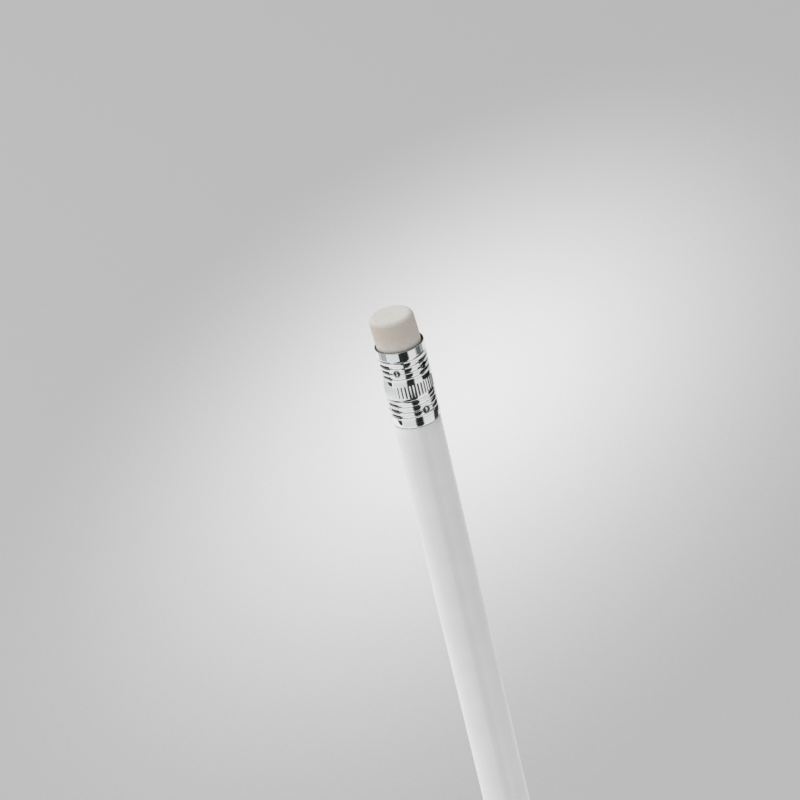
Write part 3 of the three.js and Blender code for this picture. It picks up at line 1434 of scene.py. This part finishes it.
@dataclass
class EraserPlug(Piece):
    """The rubber plug: straight sides, a soft top edge, and a waist where the beads pinch it."""

    node: ClassVar[str] = "eraser_plug"
    slot: ClassVar[str] = "eraser_rubber"
    title: ClassVar[str] = "eraser_rubber"
    radius: float = 3.31
    top_taper: float = 0.03
    edge: float = 0.8
    pinched: float = 3.2
    pinch_from: float = 1.2
    pinch_slope: float = 0.5
    pinch_to: float = 4.8
    foot_inner: float = 2.56
    face_inner: float = 0.03
    # How far below the rim the painted shade on the rubber starts.
    contact_shade_from: float = 0.3
    shift: float = 0.05
    shift_fade: float = 4.0
    lean: float = 0.27
    top_hollow: float = 0.015
    top_inset: float = 0.32
    top_fade: float = 0.5
    free_fade: float = 0.8
    hump: float = 0.012
    humps: Unevenness = Unevenness(grain=1.6, seed=2.0)
    crumb: float = 0.006
    crumbs: Unevenness = Unevenness(grain=0.3, seed=17.0)
    columns: int = 192
    seat_rings: int = 8
    side_rings: int = 34
    edge_rings: int = 14
    face_rings: int = 21

    def __post_init__(self) -> None:
        """Reads where the plug starts and ends, and where it leaves the ferrule."""
        self.foot, self.top = node_span(self.node)
        self.rim = node_span("ferrule")[1]

    def profile(self) -> np.ndarray:
        """Follows the plug from its foot to the middle of its top.

        Returns:
            Radius and height of each ring.
        """
        pinch_top = self.rim - self.pinch_from
        levels = np.linspace(self.rim - self.pinch_to, pinch_top - self.pinch_slope, self.seat_rings)
        seat = [(self.foot_inner, self.foot), (self.pinched, self.foot)]
        seat += [(self.pinched, z) for z in levels]
        climb, rise = np.linspace(0.0, 1.0, self.side_rings), self.top - self.edge - pinch_top
        side = [(self.radius - self.top_taper * k, pinch_top + k * rise) for k in climb]
        brow = rounded_edge(self.radius - self.top_taper, self.top, self.edge, self.edge_rings)
        middle = np.linspace(1.0, self.face_inner, self.face_rings + 1)[1:]
        face = [(brow[-1][0] * share, self.top) for share in middle]
        return np.array(seat + side + brow + face)

    def mesh(self) -> bpy.types.Mesh:
        """Builds the plug from its foot up, with the small unevenness of cut rubber.

        Returns:
            The plug's mesh.
        """
        radii, heights = spun(self.profile(), self.columns)
        rings = ring_points(radii, heights)
        rough = self.hump * self.humps.at(rings) + self.crumb * self.crumbs.at(rings) - self.hump
        free = smooth((heights - self.rim) / self.free_fade)
        on_top = smooth((self.radius - self.top_inset - radii) / self.top_fade)
        on_top = on_top * (heights > self.top - self.edge)
        radii = radii + free * (1.0 - on_top) * rough
        hollow = self.top_hollow * (1.0 - (radii / self.radius) ** 2)
        heights = heights + on_top * (np.minimum(rough, 0.0) - hollow)
        return skin_mesh(self.title, self.leant(ring_points(radii, heights)), Ends.POLES)

    def leant(self, rings: np.ndarray) -> np.ndarray:
        """Sets the plug a little to the left in the ferrule, and leans it the same way above it.

        Args:
            rings: Points of the straight plug.

        Returns:
            The moved points.
        """
        rise = (rings[..., 2] - self.rim) / (self.top - self.rim)
        left = self.shift * smooth(1.0 + self.shift_fade * rise) + self.lean * np.clip(rise, 0.0, 1.0)
        return rings - left[..., None] * (1.0, 0.0, 0.0)

    def finish(self) -> Finish:
        """Gives the piece's finish."""
        return RubberFinish(rim_height=self.rim - self.contact_shade_from, face_height=self.top)


class Card:
    """A card between two edges beside the pencil, which shows only in reflections.

    Its heights are counted down from the ferrule's rim, and its turns are in degrees. Its tone is
    raised to a power of its own in red, green and blue, so that a dark card is slightly cool.
    """

    tone: float
    columns: ClassVar[int] = 24
    black: ClassVar[float] = 0.03
    cool: ClassVar[Colour] = (1.035, 0.98, 0.985)

    def edges(self, rim: float) -> tuple[np.ndarray, np.ndarray]:
        """Gives the points along the card's two edges."""
        raise NotImplementedError

    def turned(self, between: Span) -> np.ndarray:
        """Gives evenly spaced turns between two, in radians."""
        return np.radians(np.linspace(*between, self.columns))

    def make(self, name: str, rim: float) -> bpy.types.Object:
        """Builds the card.

        Args:
            name: Name of the card.
            rim: Height of the ferrule's rim.

        Returns:
            The card.
        """
        first, second = self.edges(rim)
        n = self.columns
        faces = [[k, k + 1, n + k + 1, n + k] for k in range(n - 1)]
        mesh = finished_mesh(name, np.vstack([first, second]), faces)
        mesh.materials.append(self.material())
        made = placed(name, mesh)
        made.visible_camera = made.visible_diffuse = made.visible_shadow = False
        made.visible_transmission = made.visible_volume_scatter = False
        return made

    def material(self) -> bpy.types.Material:
        """Makes the card's flat material, slightly cool in tone.

        Returns:
            The material.
        """
        made = bpy.data.materials.new("dark_card")
        made.use_nodes = True
        shader = made.node_tree.nodes["Principled BSDF"].inputs
        shader["Base Color"].default_value = (*(self.tone ** power for power in self.cool), 1.0)
        shader["Roughness"].default_value = 1.0
        shader["Specular IOR Level"].default_value = 0.0
        return made


@dataclass(frozen=True)
class Panel(Card):
    """An upright card at one radius, whose second edge may be turned further by a slant."""

    turn: Span
    radius: float
    below: Span
    tone: float = Card.black
    slant: float = 0.0

    def edges(self, rim: float) -> tuple[np.ndarray, np.ndarray]:
        """Gives the points along the card's two edges."""
        turn, slanted = self.turned(self.turn), self.turned(self.turn) + math.radians(self.slant)
        return tuple(around(self.radius, t, rim - z) for t, z in zip((turn, slanted), self.below))


@dataclass(frozen=True)
class Tray(Card):
    """A level card between two radii."""

    turn: Span
    radii: Span
    below: float
    tone: float

    def edges(self, rim: float) -> tuple[np.ndarray, np.ndarray]:
        """Gives the points along the card's two edges."""
        return tuple(around(r, self.turned(self.turn), rim - self.below) for r in self.radii)


@dataclass(frozen=True)
class Shelf(Card):
    """A level strip close to the ferrule, cut along the rays that the front view mirrors in it.

    A mark shows on the ferrule between the near turns at its foot and the far turns at its head.
    """

    near: Span
    far: Span
    below: float
    reach: float
    tone: float = Card.black
    inner: ClassVar[float] = 3.54
    outer: ClassVar[float] = 3.6

    def edges(self, rim: float) -> tuple[np.ndarray, np.ndarray]:
        """Gives the points along the card's two edges.

        Args:
            rim: Height of the ferrule's rim.

        Returns:
            The edge inside the ferrule's skin, and the one that the mirrored rays reach.
        """
        height, far = rim - self.below, self.turned(self.far)
        inside = around(self.inner, self.turned(self.near), height)
        reached = around(self.outer, far, height) + around(self.reach, 2.0 * far, 0.0)
        return inside, reached


@dataclass
class Reflections:
    """The dark and grey cards that draw the marks of a studio on the bright ferrule.

    A dash under a bead is given by its turns in degrees, how far it drops below the bead's crest,
    and how far its card reaches out.
    """

    ferrule: Ferrule
    left_dashes: tuple[Span, ...] = (
        (-70.0, -38.5), (-65.0, -41.5), (-65.0, -40.5),
        (-70.0, -38.5), (-66.0, -38.5), (-66.0, -38.5),
    )
    left_dash_drop: float = 0.36
    left_dash_reach: float = 0.8
    right_dashes: tuple[float, ...] = (36.0, 38.0, 36.0)
    right_dash_stop: float = 80.0
    right_dash_slant: float = 2.0
    right_dash_drop: float = 0.4
    right_dash_reach: float = 1.0

    def bead_dashes(self) -> list[Card]:
        """Draws a dash under the left end of each bead, and under the right of each upper one.

        Returns:
            The cards.
        """
        upper = self.ferrule.crests(self.ferrule.upper_at)
        lower = self.ferrule.crests(self.ferrule.lower_at)
        left = [
            Shelf(near=turn, far=turn, below=crest + self.left_dash_drop, reach=self.left_dash_reach)
            for turn, crest in zip(self.left_dashes, (*upper, *lower))
        ]
        right = [
            Shelf(
                near=(start + self.right_dash_slant, self.right_dash_stop),
                far=(start, self.right_dash_stop),
                below=crest + self.right_dash_drop,
                reach=self.right_dash_reach,
            )
            for start, crest in zip(self.right_dashes, upper)
        ]
        return left + right

    def band_marks(self) -> list[Card]:
        """Draws the marks on the collar, the flutes, the waist and the foot band.

        Returns:
            The cards.
        """
        collar_wedges = [
            Shelf(near=(-46.0, -41.0), far=(-54.0, -41.0), below=5.35, reach=1.6),
            Shelf(near=(37.0, 66.0), far=(34.0, 66.0), below=5.35, reach=2.4),
        ]
        lines_over_beads = [
            Shelf(near=(-8.0, -0.5), far=(-8.0, -0.5), below=1.66, reach=3.6),
            Shelf(near=(-27.0, -8.0), far=(-12.0, -8.0), below=1.66, reach=0.3),
            Shelf(near=(-27.0, -2.0), far=(-12.0, -2.0), below=7.94, reach=0.55),
        ]
        flute_middle = [Shelf(near=(-4.5, 13.0), far=(-4.5, 13.0), below=7.55, reach=3.9, tone=0.05)]
        foot_wedges = [
            Shelf(near=(-41.0, -38.0), far=(-50.0, -38.0), below=11.75, reach=2.4),
            Shelf(near=(45.0, 62.0), far=(45.0, 64.0), below=12.3, reach=1.8, tone=0.1),
        ]
        lower_right = [
            Shelf(near=(46.0, 78.0), far=(44.0, 78.0), below=8.1, reach=0.8),
            Panel(turn=(82.0, 125.0), radius=14.0, below=(17.4, 8.1), tone=0.04, slant=-3.0),
        ]
        return collar_wedges + lines_over_beads + flute_middle + foot_wedges + lower_right

    def stripes(self) -> list[Card]:
        """Draws the long stripes: a dark one in front and one behind, each with a grey border.

        Returns:
            The cards.
        """
        front = [
            Panel(turn=(-3.0, 26.0), radius=60.0, below=(165.3, -13.7)),
            Panel(turn=(-6.0, 29.0), radius=61.0, below=(165.3, -13.7), tone=0.3),
            Panel(turn=(-7.5, -4.0), radius=60.0, below=(42.3, 25.3)),
        ]
        behind = [
            Panel(turn=(169.0, 187.0), radius=60.0, below=(75.3, -13.7)),
            Panel(turn=(166.0, 192.0), radius=61.0, below=(75.3, -13.7), tone=0.3),
            Panel(turn=(115.0, 245.0), radius=60.0, below=(-10.7, -54.7)),
        ]
        return front + behind

    def grey_fields(self) -> list[Card]:
        """Draws the soft grey fields on the left and the right, and dims the white between them.

        Returns:
            The cards.
        """
        left = [
            Tray(turn=(-135.0, -75.0), radii=(14.2, 20.0), below=12.8, tone=0.66),
            Tray(turn=(-106.0, -73.0), radii=(24.0, 36.0), below=12.8, tone=0.44),
            Tray(turn=(-126.0, -106.0), radii=(24.0, 36.0), below=12.8, tone=0.62),
        ]
        right = [
            Tray(turn=(71.0, 95.0), radii=(23.0, 36.0), below=12.8, tone=0.13),
            Tray(turn=(64.0, 116.0), radii=(23.0, 36.0), below=12.9, tone=0.4),
        ]
        pale = [Tray(turn=(-75.0, -7.0), radii=(120.0, 420.0), below=125.3, tone=0.74)]
        return left + right + pale

    def make(self) -> None:
        """Builds all the cards around the ferrule."""
        cards = self.bead_dashes() + self.band_marks() + self.stripes() + self.grey_fields()
        for number, card in enumerate(cards, 1):
            card.make(f"dark_card_{number}", self.ferrule.rim)
        LOG.info("reflections: %d cards", len(cards))


@dataclass
class Studio:
    """The pale floor, the even sky and the soft light from above on the left."""

    floor_side: float = 9000.0
    sky: float = 0.47
    backdrop: float = 0.80
    softbox_size: Span = (1500.0, 2400.0)
    softbox_at: tuple[float, float, float] = (-1000.0, 150.0, 2300.0)
    softbox_power: float = 40.0

    def make(self) -> None:
        """Builds the whole studio."""
        self.make_floor()
        self.make_sky()
        self.make_softbox()
        LOG.info("studio: floor, sky and softbox")

    def make_floor(self) -> None:
        """Lays the floor at the pencil's point."""
        half = self.floor_side / 2.0
        signs = np.array([(-1.0, -1.0, 0.0), (1.0, -1.0, 0.0), (1.0, 1.0, 0.0), (-1.0, 1.0, 0.0)])
        mesh = finished_mesh("floor", signs * half, [[0, 1, 2, 3]])
        mesh.materials.append(FloorFinish(self.backdrop).material())
        placed("floor", mesh)

    def make_sky(self) -> None:
        """Lights the scene evenly, and shows a paler backdrop to the camera and to reflections."""
        world = bpy.data.worlds.new("studio_sky")
        world.use_nodes = True
        sheet = Sheet(world.node_tree)
        rays = sheet.node("ShaderNodeLightPath").outputs
        seen = sheet.larger(rays["Is Camera Ray"], rays["Is Glossy Ray"])
        seen = sheet.larger(seen, rays["Is Transmission Ray"])
        light = world.node_tree.nodes["Background"]
        light.inputs["Color"].default_value = grey(self.sky)
        shown = sheet.node("ShaderNodeBackground")
        shown.inputs["Color"].default_value = grey(self.backdrop)
        mixed = sheet.mixed_shaders(seen, light.outputs[0], shown.outputs[0])
        sheet.feed(world.node_tree.nodes["World Output"].inputs["Surface"], mixed)
        bpy.context.scene.world = world

    def make_softbox(self) -> None:
        """Hangs the softbox level, facing down."""
        lamp = bpy.data.lights.new("softbox", "AREA")
        lamp.shape = "RECTANGLE"
        lamp.size, lamp.size_y = (side * MM for side in self.softbox_size)
        lamp.energy = self.softbox_power
        made = placed("softbox", lamp)
        made.location = Vector(self.softbox_at) * MM
        made.visible_camera = False


@dataclass
class PhotoCamera:
    """The camera at the photograph's place.

    Its elevation and distance are given from the middle of the ferrule's rim. Angles are in degrees.
    """

    elevation: float = 25.383
    distance: float = 474.28
    yaw: float = 0.235
    pitch: float = -26.363
    roll: float = -13.351
    focal_pixels: float = 3300.0
    sensor: float = 36.0
    nearest: float = 20.0

    def make(self) -> bpy.types.Object:
        """Sets up the scene's camera.

        Returns:
            The camera.
        """
        data = bpy.data.cameras.new("photo_camera")
        data.sensor_width = self.sensor
        data.lens = self.sensor * self.focal_pixels / PICTURE_SIDE
        data.clip_start = self.nearest * MM
        made = placed("photo_camera", data)
        rise = math.radians(self.elevation)
        rim = Vector((0.0, 0.0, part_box("ferrule")[1].z))
        place = rim + self.distance * MM * Vector((0.0, -math.cos(rise), math.sin(rise)))
        made.matrix_world = Matrix.Translation(place) @ self.heading().to_4x4()
        bpy.context.scene.camera = made
        return made

    def heading(self) -> Matrix:
        """Works out which way the camera looks.

        Returns:
            A matrix of the camera's right, up and backward directions.
        """
        yaw, pitch, roll = (math.radians(angle) for angle in (self.yaw, self.pitch, self.roll))
        right = Vector((math.cos(yaw), math.sin(yaw), 0.0))
        level_ahead = Vector((-math.sin(yaw), math.cos(yaw), 0.0))
        ahead = math.cos(pitch) * level_ahead + Vector((0.0, 0.0, math.sin(pitch)))
        up = right.cross(ahead)
        tilted_right = math.cos(roll) * right + math.sin(roll) * up
        tilted_up = math.cos(roll) * up - math.sin(roll) * right
        return Matrix((tilted_right, tilted_up, -ahead)).transposed()


def main() -> None:
    """Builds the camera, the pencil's pieces, the studio and the reflections, in that order."""
    logging.basicConfig(level=logging.INFO, format="%(name)s: %(message)s")
    bpy.context.scene.view_settings.view_transform = "Standard"
    PhotoCamera().make()
    ferrule = Ferrule()
    pieces = (
        GraphiteLead(),
        WoodSlat(Side.FRONT),
        WoodSlat(Side.BACK),
        LacquerCoat(),
        ferrule,
        EraserPlug(),
    )
    for piece in pieces:
        piece.make()
    Studio().make()
    Reflections(ferrule).make()


if __name__ == "__main__":
    main()
